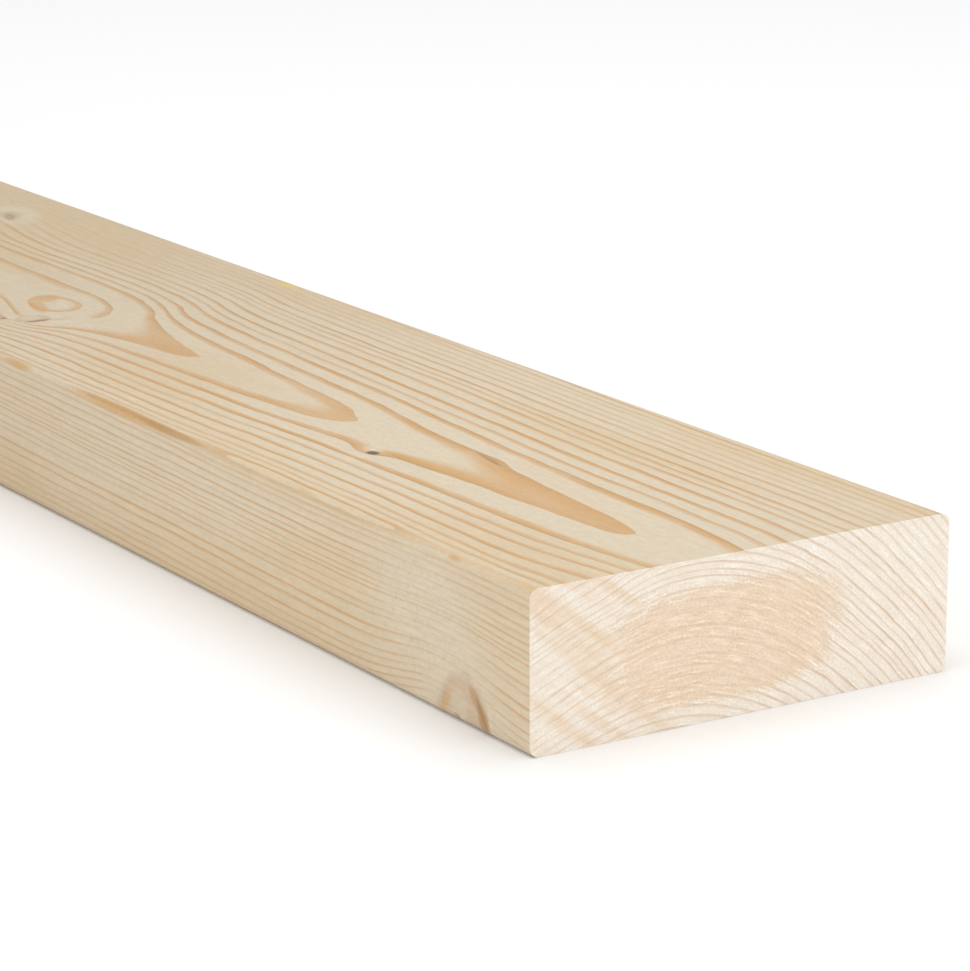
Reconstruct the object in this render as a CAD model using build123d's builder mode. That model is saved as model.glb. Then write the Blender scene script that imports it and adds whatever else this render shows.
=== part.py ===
"""Planed softwood plank, one piece of stock lying flat.

Frame: +X runs along the length, towards the end that faces the viewer. +Y runs across the width and
+Z points up. The origin is the centre of the underside. Sizes are in millimetres.
"""

import os

from build123d import *

# Driving dimensions

length = 2400.0  # a length that this section is sold in
width = 150.0  # across the broad faces, planed
thickness = 50.0  # between the broad faces, planed
arris_radius = 3.0  # easing that the planer leaves on the four long corners

os.makedirs("parts", exist_ok=True)

# Plank: the section stands on the floor, centred across the board.
# All four corners are eased before it is run out, so each arris goes the full length,
# and the two ends are left square and sharp, as a saw leaves them.
with BuildPart() as plank:
    with BuildSketch(Plane.YZ) as section:
        with Locations((0, thickness / 2)):
            Rectangle(width, thickness)
        fillet(section.vertices(), radius=arris_radius)
    extrude(amount=length / 2, both=True)

plank.part.label = "plank"
export_step(plank.part, "parts/plank.step")
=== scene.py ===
"""Looks of a planed softwood plank: one dressed board over the plain solid, its timber, and a stage.

The growth rings are one field that fills the whole board, so the lines on the broad faces, the edges
and the sawn ends are cuts through the same wood and meet at every corner.
"""

import math

import bmesh
import bpy
from mathutils import Matrix, Vector


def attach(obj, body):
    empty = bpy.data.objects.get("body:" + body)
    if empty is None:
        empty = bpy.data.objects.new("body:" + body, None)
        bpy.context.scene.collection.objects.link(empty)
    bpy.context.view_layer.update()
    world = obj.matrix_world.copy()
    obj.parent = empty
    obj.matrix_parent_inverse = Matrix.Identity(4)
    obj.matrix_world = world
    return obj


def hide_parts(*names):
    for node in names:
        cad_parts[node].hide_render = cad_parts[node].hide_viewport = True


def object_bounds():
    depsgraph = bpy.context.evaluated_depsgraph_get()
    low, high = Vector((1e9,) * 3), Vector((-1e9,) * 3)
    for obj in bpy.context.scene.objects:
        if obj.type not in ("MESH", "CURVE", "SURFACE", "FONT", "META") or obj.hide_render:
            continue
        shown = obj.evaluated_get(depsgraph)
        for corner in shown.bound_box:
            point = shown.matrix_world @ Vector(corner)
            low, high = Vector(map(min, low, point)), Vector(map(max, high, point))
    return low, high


bl_info = {
    "name": "Planed Plank",
    "version": (1, 0, 0),
    "blender": (4, 5, 0),
    "location": "View3D > Sidebar > Plank",
    "description": "Dresses a planed softwood plank with rings, knots and sawn ends",
    "category": "Object",
}

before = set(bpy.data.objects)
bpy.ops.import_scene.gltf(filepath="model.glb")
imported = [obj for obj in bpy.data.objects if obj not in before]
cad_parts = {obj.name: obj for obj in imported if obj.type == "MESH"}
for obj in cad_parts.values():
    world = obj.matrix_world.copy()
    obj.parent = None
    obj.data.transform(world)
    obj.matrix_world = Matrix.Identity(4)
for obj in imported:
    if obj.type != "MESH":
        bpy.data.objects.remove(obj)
CAD_LOW, CAD_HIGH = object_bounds()
LENGTH, WIDTH, THICKNESS = CAD_HIGH - CAD_LOW

MM = 1000.0  # millimetres in a metre
ARRIS_RADIUS = 0.003  # of the four long corners
NODE = "plank"
SLOT = "timber"
BODY = "root"


# Sizes and colours that a user would change


def tint(name, description, default):
    """A colour property, shown as a swatch."""
    return bpy.props.FloatVectorProperty(
        name=name, description=description, default=default, subtype="COLOR", size=3, min=0, max=1
    )


class BoardShape(bpy.types.PropertyGroup):
    """Sizes of the dressed board that the solid's box doesn't give."""

    arris_radius: bpy.props.FloatProperty(
        name="Arris radius",
        description="Easing of the four long corners",
        default=ARRIS_RADIUS,
        unit="LENGTH",
    )
    arris_steps: bpy.props.IntProperty(
        name="Arris steps", description="Facets round each eased corner", default=8, min=2
    )
    cell: bpy.props.FloatProperty(
        name="Cell",
        description="Largest mesh cell across the faces",
        default=0.0062,
        unit="LENGTH",
    )
    ripple: bpy.props.FloatProperty(
        name="Ripple",
        description="How deep the planed faces wander from flat",
        default=0.00012,
        unit="LENGTH",
    )


class TimberColours(bpy.types.PropertyGroup):
    """Colours of the wood, in linear light, and a painted shade for the faces away from the shown end.
    """

    early: tint("Early wood", "Pale wood of spring growth", (0.66, 0.56, 0.412))
    early_warm: tint("Warm early wood", "Yellower patches of the same", (0.642, 0.51, 0.335))
    late: tint("Late wood", "Tan wood of summer growth", (0.60, 0.342, 0.125))
    rim: tint("Ring rim", "Darkest line where a ring ends", (0.43, 0.24, 0.082))
    clear: tint("Clear wood", "Pale wood beside a knot", (0.68, 0.60, 0.46))
    knot: tint("Knot", "Body of a live knot", (0.53, 0.39, 0.265))
    bark: tint("Bark", "Dead bark in a pin knot or round a knot", (0.10, 0.075, 0.045))
    resin: tint("Resin", "Red-brown wood soaked with resin", (0.31, 0.155, 0.075))
    amber: tint("Amber", "Yellow spot of old resin", (0.72, 0.54, 0.20))
    sawn: tint("Sawn end", "Pale fibre on the ends", (0.89, 0.81, 0.705))
    broken: tint("Broken fibre", "Whitest fibre on the ends", (0.94, 0.895, 0.82))
    heart: tint("Heart", "Damp peach stain in the middle of the ends", (0.81, 0.62, 0.435))
    sawn_late: tint("Sawn late wood", "Ring lines on the ends", (0.62, 0.41, 0.24))
    # Painted shade: the light's fall-off away from the shown end, put into the colour of the far faces
    painted_far_shade: tint("Painted far shade", "Multiplies the faces away from the shown end", (0.87, 0.86, 0.84))


class StageSetup(bpy.types.PropertyGroup):
    """Camera and light of the picture."""

    eye: bpy.props.FloatVectorProperty(
        name="Eye",
        description="Where the camera stands",
        default=(2.0325, -0.6107, 0.3457),
        subtype="XYZ",
        unit="LENGTH",
    )
    heading: bpy.props.FloatProperty(
        name="Heading",
        description="Turn of the view from +X, seen from above",
        default=math.radians(147.97),
        subtype="ANGLE",
    )
    dip: bpy.props.FloatProperty(
        name="Dip",
        description="How far the view points below level",
        default=math.radians(15.0),
        subtype="ANGLE",
    )
    roll: bpy.props.FloatProperty(
        name="Roll",
        description="Turn of the camera about its view",
        default=math.radians(-0.25),
        subtype="ANGLE",
    )
    lens: bpy.props.FloatProperty(
        name="Lens", description="Focal length on a 36 mm frame", default=136.75, unit="CAMERA"
    )
    sky: bpy.props.FloatProperty(
        name="Sky", description="Strength of the even light all round", default=0.6, min=0
    )


# Shader sums


class Wire:
    """One output of a node. Sums on it add Math nodes."""

    def __init__(self, bench, socket):
        self.bench = bench
        self.socket = socket

    def __add__(self, other):
        return self.bench.math("ADD", self, other)

    __radd__ = __add__

    def __sub__(self, other):
        return self.bench.math("SUBTRACT", self, other)

    def __rsub__(self, other):
        return self.bench.math("SUBTRACT", other, self)

    def __mul__(self, other):
        return self.bench.math("MULTIPLY", self, other)

    __rmul__ = __mul__

    def __truediv__(self, other):
        return self.bench.math("DIVIDE", self, other)

    def __rtruediv__(self, other):
        return self.bench.math("DIVIDE", other, self)

    def __pow__(self, other):
        return self.bench.math("POWER", self, other)

    def __rpow__(self, other):
        return self.bench.math("POWER", other, self)


class Bench:
    """A material's nodes, added one at a time."""

    def __init__(self, name):
        self.material = bpy.data.materials.new(name)
        self.material.use_nodes = True
        self.tree = self.material.node_tree
        self.tree.nodes.clear()

    def add(self, kind, settings=None, sockets=None, give=0):
        """Adds a node: its settings first, then what its sockets hold or are linked to."""
        node = self.tree.nodes.new(kind)
        for name, value in (settings or {}).items():
            setattr(node, name, value)
        for name, value in (sockets or {}).items():
            if isinstance(value, Wire):
                self.tree.links.new(value.socket, node.inputs[name])
            else:
                node.inputs[name].default_value = value
        return Wire(self, node.outputs[give]) if node.outputs else None

    def curve(self, value, points, handles="VECTOR"):
        """A value read off a line through points, straight between them or smooth."""
        made = self.add("ShaderNodeFloatCurve", sockets={"Value": value})
        mapping = made.socket.node.mapping
        mapping.use_clip = False
        line = mapping.curves[0]
        for place, point in enumerate(points):
            if place < 2:
                line.points[place].location = point
            else:
                line.points.new(*point)
        for point in line.points:
            point.handle_type = handles
        mapping.update()
        return made

    def math(self, operation, *values):
        return self.add("ShaderNodeMath", {"operation": operation}, dict(enumerate(values)))

    def vector(self, operation, *values, give=0):
        return self.add(
            "ShaderNodeVectorMath", {"operation": operation}, dict(enumerate(values)), give
        )

    def point(self, x, y, z):
        return self.add("ShaderNodeCombineXYZ", sockets={0: x, 1: y, 2: z})

    def smooth(self, value, low, high, before=0.0, after=1.0):
        """One number below low, another above high and an easy slope between them."""
        return self.add(
            "ShaderNodeMapRange",
            {"interpolation_type": "SMOOTHSTEP"},
            {"Value": value, "From Min": low, "From Max": high, "To Min": before, "To Max": after},
        )

    def mix(self, share, first, second, way="MIX"):
        """Two colours, each a swatch or a wire, mixed by share."""
        return self.add(
            "ShaderNodeMix",
            {"data_type": "RGBA", "blend_type": way},
            {0: share, 6: opaque(first), 7: opaque(second)},
            give=2,
        )

    def shade(self, colour, amount):
        """A colour made lighter by a share of itself, or darker where the share is below 0."""
        light = amount + 1.0
        return self.mix(1.0, colour, self.point(light, light, light), way="MULTIPLY")

    def noise(self, place, scale=1.0, detail=2.0, rough=0.5):
        """Soft noise about 0, mostly between -1 and 1."""
        made = self.add(
            "ShaderNodeTexNoise",
            sockets={"Vector": place, "Scale": scale, "Detail": detail, "Roughness": rough},
        )
        return (made - 0.5) * 4.0


def opaque(colour):
    """A swatch with the alpha that a colour socket wants."""
    return colour if isinstance(colour, Wire) else (*colour, 1.0)


# Growth rings. Places are in millimetres: along is the distance from the shown end, across and up are
# the board's own Y and Z. A height here is how far up a ring reaches over the crest at the shown end.

LONG, WIDE, THICK = LENGTH * MM, WIDTH * MM, THICKNESS * MM

CREST = -18.5  # across, where the rings come nearest the upper face
CREST_REACH = 75.0  # how wide the crown of a ring is before its flanks run straight
FLANK_SLOPE = 1.1  # slope of those flanks
NEAR_FLANK = 3.3  # how much lower the rings lie at the upper face, well out on the near side
NEAR_REACH = 50.0  # how far from the crest that is
NEAR_STARTS = (-60.0, 200.0)  # between these two along the board, that lowering sets in
LEAN = 0.15  # how much the rings turn clockwise towards the under face
SWAY = 0.45  # how far the rings bend up and down on their flanks, in long waves
WAVER = 0.26  # and in short ones

# Each ring, inner ones first: the height at which it ends, how wide and how dark its late wood is.
RINGS = (
    (13.9, 0.9, 0.8),
    (17.2, 0.9, 0.6),
    (20.5, 0.9, 0.9),
    (25.7, 1.1, 1.0),
    (29.7, 1.1, 1.0),
    (35.0, 0.9, 0.7),
    (37.8, 0.9, 0.8),
    (41.1, 0.55, 0.85),
    (44.8, 0.75, 1.0),
    (46.7, 0.65, 0.9),
    (49.0, 0.75, 1.0),
    (52.2, 0.95, 1.0),
    (54.7, 0.8, 0.65),
    (57.7, 0.95, 1.0),
    (61.7, 1.0, 0.9),
    (65.3, 1.0, 0.7),
    (67.8, 0.9, 0.7),
    (70.4, 1.0, 0.95),
    (74.6, 1.0, 0.8),
    (78.4, 1.0, 0.65),
    (81.4, 1.0, 0.5),
    (84.4, 1.0, 0.45),
    (87.9, 1.0, 0.4),
    (90.5, 1.0, 0.55),
    (93.5, 1.0, 0.75),
)
LATE_AGE = 0.7  # age at which a ring's late wood starts, where 1 is its end
RING_WIDTH = 3.3  # inside the first of them and outside the last

# How far the rings have risen, by the distance from the shown end. Each flame on the upper face has
# its tip where one more ring has reached that face.
RISE = (
    (0, 0),
    (38, 1.0),
    (80, 1.35),
    (120, 1.7),
    (199, 3.3),
    (216, 3.85),
    (250, 4.35),
    (313, 5.2),
    (345, 5.65),
    (370, 6.6),
    (392, 8.6),
    (420, 9.7),
    (460, 9.9),
    (540, 11.2),
    (620, 12.5),
)
RISE_WAVE = 3.5  # beyond that the rings fall and rise in a wave, by this either way
RISE_RADIAN = 230.0  # how far along the board one radian of that wave is

# Swellings of the rings: along, across, up, then their reach each way, then how far they lift.
SWELLINGS = (
    ((50, -75, 0), (27, 22, 26), 8.5),  # over the knot in the near edge
    ((0, -75, 12), (22, 30, 22), -2.2),  # the rings drop again between that knot and the sawn end
    ((0, -52, 50), (28, 13, 20), -2.0),
    ((417, -22, 50), (17, 12, 30), 4.3),  # eye beside a knot in the upper face
    ((465, -20, 50), (55, 14, 30), 1.2),
    ((402, -42, 50), (20, 12, 30), 3.2),
    ((430, 22, 50), (75, 26, 60), 2.2),  # the rings spread where they pass that eye
    ((595, 44, 50), (45, 22, 40), 5.0),
    ((160, -35, 50), (9, 5, 20), 1.2),  # pin knot
    ((130, -5, 50), (16, 7, 30), 0.5),  # the near flame is wider beside its resin streak
    ((1040, 30, 50), (55, 24, 40), 5.0),
    ((1085, -75, 30), (40, 22, 22), 4.0),
    ((1530, -38, 50), (50, 22, 40), 4.5),
    ((1560, 75, 22), (45, 26, 22), 4.5),
    ((2010, 22, 50), (55, 24, 40), 5.0),
)

# Knots: a place on their axis, the axis (outwards from the pith) and their radius.
KNOTS = (
    ((36.5, -75, 0.5), (0.05, -0.95, 0.3), 14.0),
    ((399, -39, 50), (0.1, -0.3, 0.95), 6.2),
    ((594, 43, 50), (-0.15, 0.45, 0.88), 6.5),
    ((1040, 30, 50), (0.1, 0.45, 0.88), 12.0),
    ((1085, -75, 30), (0.05, -0.7, 0.7), 9.0),
    ((1530, -38, 50), (-0.1, -0.3, 0.95), 10.0),
    ((1560, 75, 22), (0.05, 0.9, 0.42), 11.0),
    ((2010, 22, 50), (0.12, 0.4, 0.9), 14.0),
)
NO_END = 1e6  # reach along a knot's axis
PALE_KNOTS = (620.0, 820.0)  # knots are pale up to the first, and dark with bark from the second on

# Small marks: a place, the way they run, half their length, half their width, colour and strength.
MARKS = (
    ((130, -7, 50), (1, 0.16, 0), 11.0, 1.2, "rim", 0.75),  # resin streak on the edge of a flame
    ((127, -7.5, 50), (1, 0.16, 0), 6.0, 0.7, "resin", 0.35),
    ((157, -34, 50), (1, 0, 0), 2.8, 2.2, "bark", 0.95),  # pin knot
    ((161, -31.5, 50), (1, 0, 0), 1.6, 0.9, "clear", 0.9),
    ((38.5, -75, 5.0), (1, 0, 0), 5.0, 5.0, "clear", 0.4),  # pith of the knot in the near edge
    ((29.5, -75, 9.5), (0.75, 0, 0.75), 5.0, 2.3, "rim", 0.6),  # crescent beside it
    ((25.2, -75, 4.0), (0.45, 0, 0.9), 5.5, 2.8, "rim", 0.75),
    ((26.2, -75, 6.0), (0.6, 0, 0.8), 6.0, 1.0, "resin", 0.45),
    ((46.5, -75, 4.5), (0.4, 0, -0.9), 5.0, 2.0, "late", 0.5),
    ((40, -75, 1.5), (1, 0, 0), 2.0, 1.2, "bark", 0.35),
    ((429, -19, 50), (0.6, 0.5, 0), 8.0, 5.0, "late", 0.6),  # thick side of the eye
    ((417, -28, 50), (1, 0.3, 0), 11.0, 3.4, "late", 0.6),
    ((389, -27, 50), (0.2, 1, 0), 10.0, 4.5, "clear", 0.75),  # where the rings fade beside that knot
    ((401, -39, 50), (1, 0, 0), 4.6, 4.4, "clear", 0.5),  # pale middle of the knot by the eye
    ((394.8, -39, 50), (0, 1, 0), 5.5, 1.6, "resin", 0.75),  # crescent beside it
    ((406, -48, 50), (1, 0, 0), 2.0, 1.5, "bark", 0.6),
    ((414, -20, 50), (1, 0.2, 0), 5.0, 2.6, "clear", 0.8),  # pale middle of the eye
    ((592, 44, 50), (1, 0.3, 0), 24.0, 11.0, "clear", 0.6),  # pale wood round the farthest knot in view
    ((591, 41, 50), (1, 0.35, 0), 13.0, 5.0, "resin", 0.22),
    ((589, 40, 50), (1, 0.4, 0), 8.0, 2.4, "resin", 0.4),
    ((400, 70, 50), (1, 0, 0), 9.0, 3.0, "amber", 0.85),  # spot on the far arris
    ((252, -75, 50), (1, 0, 0), 52.0, 3.0, "late", 0.8),  # late wood laid open by the near arris
    ((250, -74, 50), (1, 0, 0), 48.0, 1.3, "rim", 0.55),
    ((220, -74.3, 49.3), (1, 0, 0), 26.0, 1.5, "rim", 0.6),
    ((338, -75, 50), (1, 0, 0), 14.0, 2.4, "late", 0.8),
    ((131, -75, 50), (1, 0, 0), 9.0, 1.6, "late", 0.6),
    ((42, -75, 50), (1, 0, 0), 5.0, 1.8, "late", 0.8),
)

MARK_FADE = (0.55, 1.2)  # a mark fades out between these shares of its half sizes

# Patches: a place and their reach each way.
CHATTER = ((60, -75, 30), (27, 4, 19))  # rough pale patch above the knot in the near edge
FADED = ((560, 60, 50), (130, 34, 60))  # patch of the upper face where the rings barely show
HEART = ((0, -7, 24), (1, 44, 20))  # damp stain in the middle of both ends

AWAY = (100.0, 520.0)  # between these two along the board, the faces darken by painted shade, as the light falls off there
SAWN_SKIN = (0.4, 0.7)  # between these two depths, the look of a sawn end gives way to the faces'

# Share of the ring lines' darkness that is lost: on the near and far edges, away from the shown end,
# beside knots, on the arrises and in the two patches.
FADING = {"edge": 0.3, "away": 0.2, "clear": 0.45, "eased": 0.5, "chatter": 0.6, "faded": 0.6}


def seen_from(bench, place, centre, axes, reach):
    """A place measured from a centre, turned so that axes is local X, in shares of the reach."""
    turn = Vector(axes).to_track_quat("X", "Z").to_euler()
    sockets = {"Vector": place, "Location": centre, "Rotation": tuple(turn), "Scale": reach}
    return bench.add("ShaderNodeMapping", {"vector_type": "TEXTURE"}, sockets)


def swelling(bench, place, centre, reach):
    """A rounded rise to 1 about one place."""
    off = seen_from(bench, place, centre, (1, 0, 0), reach)
    return math.exp(-1) ** bench.vector("DOT_PRODUCT", off, off, give=1)


def rise(bench, along):
    """How far the rings have risen at this distance from the shown end."""
    last, top = RISE[-1]
    bends = [(far / last, lift / top) for far, lift in RISE]
    curve = bench.curve(bench.math("MINIMUM", along / last, 1.0), bends, "AUTO")
    beyond = bench.math("MAXIMUM", along - last, 0.0)
    return curve * top + (bench.math("COSINE", beyond / RISE_RADIAN) - 1.0) * RISE_WAVE


def grain(bench, place, cell, detail=2.0, rough=0.5):
    """Noise in patches about as long, wide and high as a cell, in millimetres."""
    return bench.noise(bench.vector("DIVIDE", place, cell), detail=detail, rough=rough)


def ring_height(bench, place, along, across, up):
    """Which ring passes here, told by the height that it reaches over the crest at the shown end."""
    off_crest = across - CREST
    crown = bench.math("SQRT", off_crest * off_crest + CREST_REACH**2) - CREST_REACH
    lean = across * (THICK - up) * (LEAN / THICK)
    near = bench.math("MAXIMUM", off_crest / -NEAR_REACH, 0.0) ** 3.0
    near = near * bench.smooth(along, *NEAR_STARTS) * up * (NEAR_FLANK / THICK)
    flank = bench.smooth(bench.math("ABSOLUTE", off_crest), 3.0, 40.0)
    sway = grain(bench, place, (120.0, 26.0, 26.0), detail=1.0)
    waver = grain(bench, place, (24.0, 7.0, 7.0))
    height = up + crown * FLANK_SLOPE + lean + near - rise(bench, along)
    height = height + flank * sway * SWAY + (flank * 0.75 + 0.25) * waver * WAVER
    for centre, reach, lift in SWELLINGS:
        height = height - swelling(bench, place, centre, reach) * lift
    return height


def ring_count(bench, height):
    """Rings counted outwards, whole where one ends and the next begins."""
    low, high = RINGS[0][0], RINGS[-1][0]
    last = len(RINGS) - 1
    bends = [(0, 0)]
    for ring, (top, late, dark) in enumerate(RINGS[1:], 1):
        bends.append(((top - late - low) / (high - low), (ring - 1 + LATE_AGE) / last))
        bends.append(((top - low) / (high - low), ring / last))
    inside = bench.math("MINIMUM", bench.math("MAXIMUM", height, low), high)
    curve = bench.curve((inside - low) / (high - low), bends)
    return curve * last + (height - inside) / RING_WIDTH


def ring_darkness(bench, count):
    """How dark the late wood of the ring that passes here is."""
    last = len(RINGS) - 1
    bends = [(ring / last, dark) for ring, (top, late, dark) in enumerate(RINGS)]
    share = bench.math("CEIL", count) / last
    return bench.curve(bench.math("MINIMUM", bench.math("MAXIMUM", share, 0.0), 1.0), bends)


def knots_near(bench, place):
    """How far the nearest knot's axis is, in shares of that knot's radius."""
    nearest = None
    for centre, axis, radius in KNOTS:
        off = seen_from(bench, place, centre, axis, (NO_END, radius, radius))
        far = bench.vector("LENGTH", off, give=1)
        nearest = far if nearest is None else bench.math("MINIMUM", nearest, far)
    return nearest


def mark(bench, place, centre, way, half_length, half_width, strength):
    """Mask of one small mark, longer one way than the other."""
    off = seen_from(bench, place, centre, way, (half_length, half_width, half_width))
    return bench.smooth(bench.vector("LENGTH", off, give=1), *MARK_FADE, strength, 0.0)


class Spot:
    """The place being coloured, in millimetres, and how much of each kind of wood is there."""

    def __init__(self, bench):
        seen = bench.add("ShaderNodeTexCoord", give="Object")
        split = bench.add("ShaderNodeSeparateXYZ", sockets={0: seen})
        x, across, up = (Wire(bench, split.socket.node.outputs[i]) for i in range(3))
        self.along = (LENGTH / 2 - x) * MM
        self.across = across * MM
        self.up = up * MM
        self.place = bench.point(self.along, self.across, self.up)

        self.height = ring_height(bench, self.place, self.along, self.across, self.up)
        self.count = ring_count(bench, self.height)
        self.age = bench.math("FRACT", self.count)

        to_side = WIDE / 2 - bench.math("ABSOLUTE", self.across)
        to_face = THICK / 2 - bench.math("ABSOLUTE", self.up - THICK / 2)
        arris = ARRIS_RADIUS * MM
        self.edge = bench.smooth(to_side, 0.2, 2.0, 1.0, 0.0)
        self.eased = bench.smooth(to_side, arris / 2, arris, 1.0, 0.0)
        self.eased = self.eased * bench.smooth(to_face, arris / 2, arris, 1.0, 0.0)
        self.off_crest = bench.smooth(bench.math("ABSOLUTE", self.across - CREST), 4.0, 14.0)
        self.away = bench.smooth(self.along, *AWAY)
        self.chatter = bench.math("MINIMUM", swelling(bench, self.place, *CHATTER) * 1.6, 1.0)
        self.faded = bench.math("MINIMUM", swelling(bench, self.place, *FADED) * 1.3, 1.0)

        wobble = bench.noise(self.place, scale=0.11, detail=1.0) * 0.07
        self.knot_far = knots_near(bench, self.place) + wobble
        self.clear = bench.smooth(self.knot_far, 0.9, 2.3, 1.0, 0.0)
        self.farther = bench.smooth(self.along, *PALE_KNOTS)


def line_darkness(bench, spot):
    """How dark the ring lines are here: as dark as this ring's are, in patches, less what fades them."""
    patchy = grain(bench, spot.place, (55.0, 8.0, 5.0))
    dark = ring_darkness(bench, spot.count) * (1.0 + patchy * (spot.off_crest * 0.2 + 0.15))
    dark = dark * bench.smooth(spot.along, 5.0, 60.0, 0.86, 1.0)
    for kind, loss in FADING.items():
        dark = dark * (1.0 - getattr(spot, kind) * loss)
    return dark


def with_knots(bench, spot, fibre, planed, colours):
    """The planed wood with its knots: their own rings, then the rind round them."""
    growth = bench.math("SINE", spot.knot_far * 26.0 + fibre * 0.6)
    growth = bench.smooth(growth, -0.2, 1.0, 0.0, 0.4)
    dull = bench.mix(spot.farther * 0.3, colours.knot, colours.resin)
    lines = bench.mix(spot.farther * 0.5, colours.late, colours.resin)
    body = bench.smooth(spot.knot_far, 0.86, 1.02, 1.0, 0.0) * (0.62 + spot.farther * 0.2)
    planed = bench.mix(body, planed, bench.mix(growth, dull, lines))
    rind = bench.smooth(bench.math("ABSOLUTE", spot.knot_far - 0.98), 0.02, 0.14, 1.0, 0.0)
    bark = bench.mix(spot.farther, colours.resin, colours.bark)
    return bench.mix(rind * (0.17 + spot.farther * 0.29), planed, bark)


def planed_wood(bench, spot, dark, colours):
    """Colour of the planed faces, how much of it is late wood, and their relief in millimetres."""
    late = bench.smooth(spot.age, LATE_AGE - 0.12, LATE_AGE + 0.08)
    rim = bench.smooth(spot.age, 0.78, 0.97) * (0.2 + spot.off_crest * 0.8)
    fibre = grain(bench, spot.place, (9.0, 0.42, 0.42), rough=0.6)
    strand = grain(bench, spot.place, (13.0, 1.4, 1.0), detail=1.0)
    fleck = grain(bench, spot.place, (2.4, 1.2, 0.9), rough=0.7)
    cloud = grain(bench, spot.place, (160.0, 30.0, 30.0), detail=1.0)
    tick = bench.noise(bench.point(spot.along / 1.7, 0.0, spot.up / 4.0), rough=0.8)
    tick = bench.smooth(tick, 0.1, 0.9) * spot.chatter

    warm = bench.smooth(cloud + spot.faded * 1.2, -0.6, 1.1)
    planed = bench.mix(warm, colours.early, colours.early_warm)
    planed = bench.mix(spot.chatter * 0.6, planed, colours.clear)
    planed = bench.mix(late * dark * 0.86, planed, colours.late)
    planed = bench.mix(rim * dark * 0.5, planed, colours.rim)
    planed = bench.mix(spot.clear * 0.35, planed, colours.clear)
    planed = with_knots(bench, spot, fibre, planed, colours)
    for centre, way, half_length, half_width, colour, strength in MARKS:
        share = mark(bench, spot.place, centre, way, half_length, half_width, strength)
        planed = bench.mix(share, planed, getattr(colours, colour))
    planed = bench.shade(planed, fibre * 0.03 + strand * 0.035 + fleck * 0.055 - tick * 0.12)
    # Painted shade: the faces darken away from the shown end, as the light falls off there
    planed = bench.mix(spot.away, planed, colours.painted_far_shade, way="MULTIPLY")
    return planed, late, fibre * 0.012 - tick * 0.05


def sawn_wood(bench, spot, dark, colours):
    """Colour of the sawn ends, and the fuzz that the saw leaves on them."""
    fuzz = grain(bench, spot.place, (1.0, 0.9, 0.8), detail=3.0, rough=0.75)
    streak = bench.point(spot.height / 0.9, spot.across / 7.0, 0.0)
    streak = bench.noise(streak, detail=3.0, rough=0.65)
    slant = (spot.across * 0.62 + spot.up * 0.79) / 7.0
    sweep = bench.noise(bench.point(slant, spot.up / 60.0, 0.0))
    blotch = bench.noise(bench.point(0.0, spot.across / 14.0, spot.up / 9.0))

    middle, reach = HEART
    flat = bench.point(0.0, spot.across, spot.up)
    off_heart = bench.vector("DIVIDE", bench.vector("SUBTRACT", flat, middle), reach)
    square = bench.vector("MULTIPLY", off_heart, off_heart)
    heart_far = bench.vector("DOT_PRODUCT", square, square, give=1) ** 0.25
    ragged = streak * 0.1 + fuzz * 0.05 + blotch * 0.09
    heart = bench.smooth(heart_far + ragged, 0.74, 1.04, 1.0, 0.0)

    left = bench.smooth(spot.across, -62.0, 0.0, 1.0, 0.25)
    banded = left * bench.smooth(sweep + fuzz * 0.2, -0.5, 0.8)
    banded = banded * bench.smooth(blotch + fuzz * 0.3, -0.9, 0.5, 0.45, 1.0)
    stained = bench.math("MAXIMUM", heart * (0.8 + blotch * 0.14), banded)
    bright = bench.smooth(streak + blotch * 0.5 + fuzz * 0.25, 0.0, 1.1) * (1.0 - stained * 0.7)
    line = bench.smooth(spot.age + fuzz * 0.1, LATE_AGE - 0.05, LATE_AGE + 0.15) * dark
    gap = bench.smooth(blotch * 0.7 + fuzz * 0.4 + spot.across / 90.0, -0.9, 0.7, 0.36, 0.68)

    fresh = bench.mix(stained, colours.sawn, colours.heart)
    fresh = bench.mix(bright * 0.8, fresh, colours.broken)
    fresh = bench.mix(line * gap * (1.0 - heart * 0.5), fresh, colours.sawn_late)
    fresh = bench.shade(fresh, fuzz * 0.13 + streak * (0.06 + heart * 0.07))
    return fresh, fuzz


def timber(colours):
    """Softwood: rings, fibre, knots and sawn ends, all worked out from the place in the board."""
    bench = Bench(SLOT)
    spot = Spot(bench)
    dark = line_darkness(bench, spot)
    planed, late, relief = planed_wood(bench, spot, dark, colours)
    fresh, fuzz = sawn_wood(bench, spot, dark, colours)
    deep = bench.math("MINIMUM", spot.along, LONG - spot.along)
    sawn = bench.smooth(deep + fuzz * 0.3, *SAWN_SKIN, 1.0, 0.0)

    relief = relief + sawn * fuzz * 0.09
    normal = bench.add(
        "ShaderNodeBump", sockets={"Strength": 0.6, "Distance": 1 / MM, "Height": relief}
    )
    wood = bench.add(
        "ShaderNodeBsdfPrincipled",
        sockets={
            "Base Color": bench.mix(sawn, planed, fresh),
            "Roughness": 0.62 - late * 0.1 + sawn * 0.25,
            "Normal": normal,
        },
    )
    bench.add("ShaderNodeOutputMaterial", sockets={"Surface": wood})
    return bench.material


# The board's mesh

DRIFT = 0.09  # how far apart the hollows of the planed faces lie

# Flat layout of the skin, as a map for a picture of it, in shares of the picture's side. The scales
# are shares for each millimetre.
SHEET_MARGIN = 0.008
STRIP_SCALE = 0.00205  # across the four long strips
STRIP_ROWS = {"upper": 0.008, "under": 0.3235, "far": 0.639, "near": 0.7495}
END_SCALE = (0.0032, 0.00245)  # across and up the two sawn ends
END_ROW = 0.862


def deselect():
    """Leaves nothing selected, so an operator acts only on what comes next."""
    bpy.ops.object.select_all(action="DESELECT")


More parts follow.
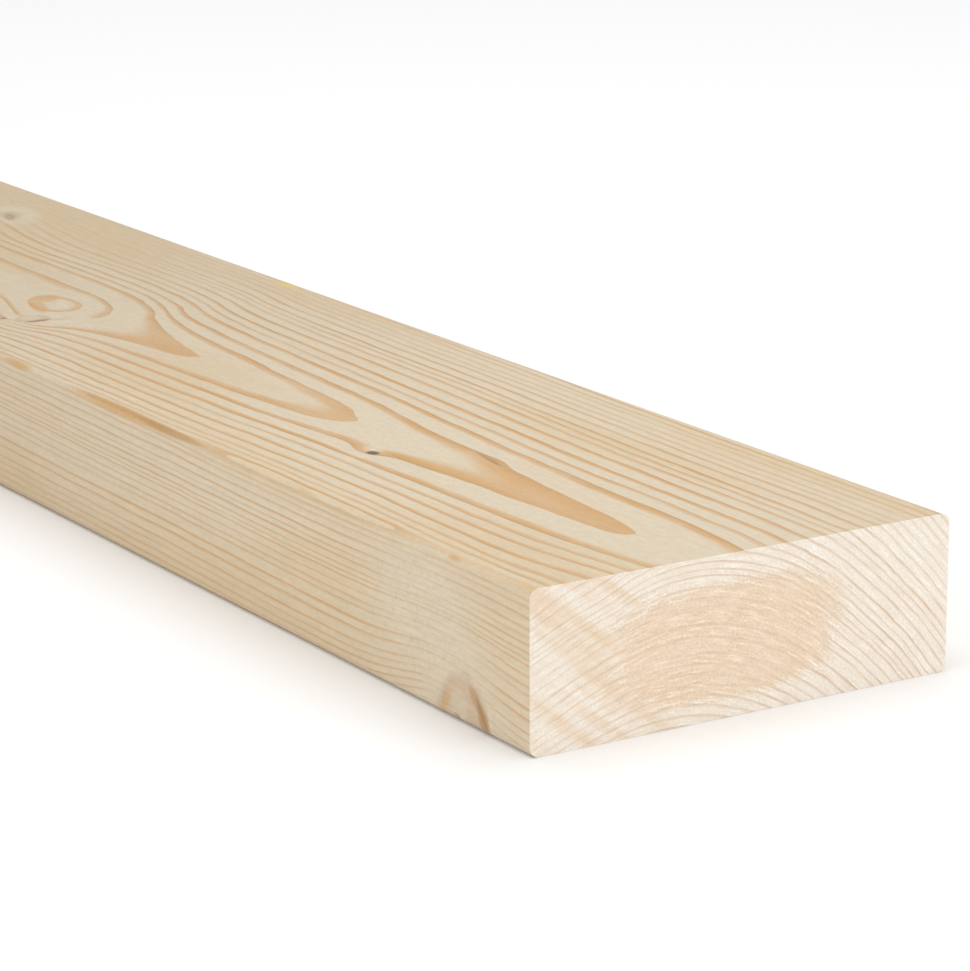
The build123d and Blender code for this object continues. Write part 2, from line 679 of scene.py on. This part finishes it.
def pick_edges(board, test):
    """In edit mode, selects the edges that pass a test and nothing else."""
    bpy.ops.mesh.select_mode(type="EDGE")
    bpy.ops.mesh.select_all(action="DESELECT")
    cage = bmesh.from_edit_mesh(board.data)
    for edge in cage.edges:
        edge.select_set(test(edge))
    bmesh.update_edit_mesh(board.data)


def runs_along(edge):
    """Whether an edge runs along the board."""
    first, last = (vertex.co for vertex in edge.verts)
    return abs(first.x - last.x) > max(abs(first.y - last.y), abs(first.z - last.z))


def cuts_between(low, high, cell):
    """Evenly spaced places from low to high, no more than a cell apart."""
    steps = math.ceil((high - low) / cell)
    return [low + (high - low) * step / steps for step in range(steps + 1)]


def planed_blank(shape):
    """A block with its four long corners eased, cut into small even cells."""
    deselect()
    bpy.ops.mesh.primitive_cube_add(
        size=1, location=(0, 0, THICKNESS / 2), scale=(LENGTH, WIDTH, THICKNESS)
    )
    board = bpy.context.object
    board.name = "dressed_plank"
    board.data.name = "dressed_plank"
    bpy.ops.object.transform_apply(location=True, rotation=True, scale=True)
    bpy.ops.object.mode_set(mode="EDIT")
    pick_edges(board, runs_along)
    bpy.ops.mesh.bevel(
        offset=shape.arris_radius, segments=shape.arris_steps, profile=0.5, affect="EDGES"
    )
    side = WIDTH / 2 - shape.arris_radius
    for across in cuts_between(-side, side, shape.cell):
        bpy.ops.mesh.select_all(action="SELECT")
        bpy.ops.mesh.bisect(plane_co=(0, across, 0), plane_no=(0, 1, 0))
    for up in cuts_between(shape.arris_radius, THICKNESS - shape.arris_radius, shape.cell):
        bpy.ops.mesh.select_all(action="SELECT")
        bpy.ops.mesh.bisect(plane_co=(0, 0, up), plane_no=(0, 0, 1))
    # The length needs more cuts than one round of subdivide can make, so there are two alike.
    parts = round(math.sqrt(LENGTH / shape.cell))
    for _ in range(2):
        pick_edges(board, runs_along)
        bpy.ops.mesh.subdivide(number_cuts=parts - 1)
    bpy.ops.object.mode_set(mode="OBJECT")
    return board


def strip_of(turn):
    """Which of the four long strips a face goes on, by its normal."""
    if abs(turn.z) > abs(turn.y):
        return "upper" if turn.z > 0 else "under"
    return "far" if turn.y > 0 else "near"


def lay_out(board):
    """Lays the skin out flat in a map named OFBake: four long strips and the two sawn ends."""
    sheet = board.data.uv_layers.new(name="OFBake")
    strip_stretch = (1.0 - 2 * SHEET_MARGIN) / LONG
    for face in board.data.polygons:
        turn = face.normal
        strip = strip_of(turn)
        for corner in face.loop_indices:
            spot = board.data.vertices[board.data.loops[corner].vertex_index].co * MM
            across = spot.y + WIDE / 2
            if abs(turn.x) > 0.5:
                start = SHEET_MARGIN if turn.x > 0 else 0.5 + SHEET_MARGIN
                sideways = start + across * END_SCALE[0]
                upwards = END_ROW + spot.z * END_SCALE[1]
            else:
                over = across if strip in ("upper", "under") else spot.z
                sideways = SHEET_MARGIN + (spot.x + LONG / 2) * strip_stretch
                upwards = STRIP_ROWS[strip] + over * STRIP_SCALE
            sheet.data[corner].uv = (sideways, upwards)


def wander(board, shape):
    """Lets the planed faces wander a little inwards from flat, as the wood moves when it dries."""
    drift = bpy.data.textures.new("drying", type="CLOUDS")
    drift.noise_scale = DRIFT
    drift.noise_depth = 1
    bend = board.modifiers.new("drying", "DISPLACE")
    bend.texture = drift
    bend.texture_coords = "LOCAL"
    bend.mid_level = 1.0
    bend.strength = shape.ripple
    bpy.ops.object.modifier_apply(modifier=bend.name)


class PLANK_OT_board(bpy.types.Operator):
    """Makes the dressed plank and lets it stand for the plain solid"""

    bl_idname = "plank.board"
    bl_label = "Dressed plank"

    def execute(self, context):
        scene = context.scene
        board = planed_blank(scene.board_shape)
        wander(board, scene.board_shape)
        bpy.ops.object.shade_smooth_by_angle(angle=math.radians(35))
        lay_out(board)
        board.data.materials.clear()
        board.data.materials.append(timber(scene.timber_colours))
        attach(board, BODY)
        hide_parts(NODE)
        return {"FINISHED"}


# Stage

FLOOR_SIDE = 80.0
FLOOR_COLOUR = (0.93, 0.93, 0.93)

# Soft lights: name, place, aim, side and power.
LIGHTS = (
    ("overhead", (0.6, 0.3, 2.6), (0.6, 0, 0), 3.0, 42),
    ("end_light", (3.4, 0.6, 1.1), (LENGTH / 2, 0, THICKNESS / 2), 1.6, 14),
    ("side_light", (1.4, -3.0, 1.0), (1.0, 0, 0), 2.0, 20),
)


def plain_paper(name, colour):
    """A plain matt material for the floor."""
    bench = Bench(name)
    matt = bench.add(
        "ShaderNodeBsdfPrincipled", sockets={"Base Color": (*colour, 1.0), "Roughness": 0.9}
    )
    bench.add("ShaderNodeOutputMaterial", sockets={"Surface": matt})
    return bench.material


def softbox(name, place, aim, size, power):
    """A square soft light that shines from place towards aim."""
    deselect()
    bpy.ops.object.light_add(type="AREA", location=place)
    lamp = bpy.context.object
    lamp.name = name
    lamp.data.shape = "SQUARE"
    lamp.data.size = size
    lamp.data.energy = power
    lamp.rotation_euler = (Vector(aim) - Vector(place)).to_track_quat("-Z", "Y").to_euler()


class PLANK_OT_stage(bpy.types.Operator):
    """Sets up the pale floor, the soft light and the camera"""

    bl_idname = "plank.stage"
    bl_label = "Stage"

    def execute(self, context):
        setup = context.scene.stage_setup
        deselect()
        bpy.ops.mesh.primitive_plane_add(size=FLOOR_SIDE)
        floor = context.object
        floor.name = "floor"
        floor.data.materials.append(plain_paper("floor_paper", FLOOR_COLOUR))

        for light in LIGHTS:
            softbox(*light)

        world = bpy.data.worlds.new("even_light")
        context.scene.world = world
        world.use_nodes = True
        sky = world.node_tree.nodes["Background"]
        sky.inputs["Color"].default_value = (1, 1, 1, 1)
        sky.inputs["Strength"].default_value = setup.sky

        bpy.ops.object.camera_add(location=setup.eye)
        camera = context.object
        camera.name = "photographer"
        camera.data.lens = setup.lens
        aim = (
            Matrix.Rotation(setup.heading - math.radians(90), 3, "Z")
            @ Matrix.Rotation(math.radians(90) - setup.dip, 3, "X")
            @ Matrix.Rotation(setup.roll, 3, "Z")
        )
        camera.rotation_euler = aim.to_euler()
        context.scene.camera = camera
        context.scene.view_settings.view_transform = "Standard"
        return {"FINISHED"}


class PLANK_PT_tools(bpy.types.Panel):
    """Sizes, colours and steps of the plank"""

    bl_idname = "PLANK_PT_tools"
    bl_label = "Planed Plank"
    bl_space_type = "VIEW_3D"
    bl_region_type = "UI"
    bl_category = "Plank"

    def draw(self, context):
        for group in (
            context.scene.board_shape,
            context.scene.timber_colours,
            context.scene.stage_setup,
        ):
            box = self.layout.box()
            for name in group.__annotations__:
                box.prop(group, name)
        for step in STEPS:
            self.layout.operator(step.bl_idname)


GROUPS = {
    "board_shape": BoardShape,
    "timber_colours": TimberColours,
    "stage_setup": StageSetup,
}
STEPS = (PLANK_OT_board, PLANK_OT_stage)


def register():
    for kind in (*GROUPS.values(), *STEPS, PLANK_PT_tools):
        bpy.utils.register_class(kind)
    for name, kind in GROUPS.items():
        setattr(bpy.types.Scene, name, bpy.props.PointerProperty(type=kind))


def unregister():
    for name in GROUPS:
        delattr(bpy.types.Scene, name)
    for kind in reversed((*GROUPS.values(), *STEPS, PLANK_PT_tools)):
        bpy.utils.unregister_class(kind)


def main():
    register()
    bpy.ops.plank.board()
    bpy.ops.plank.stage()


if __name__ == "__main__":
    main()
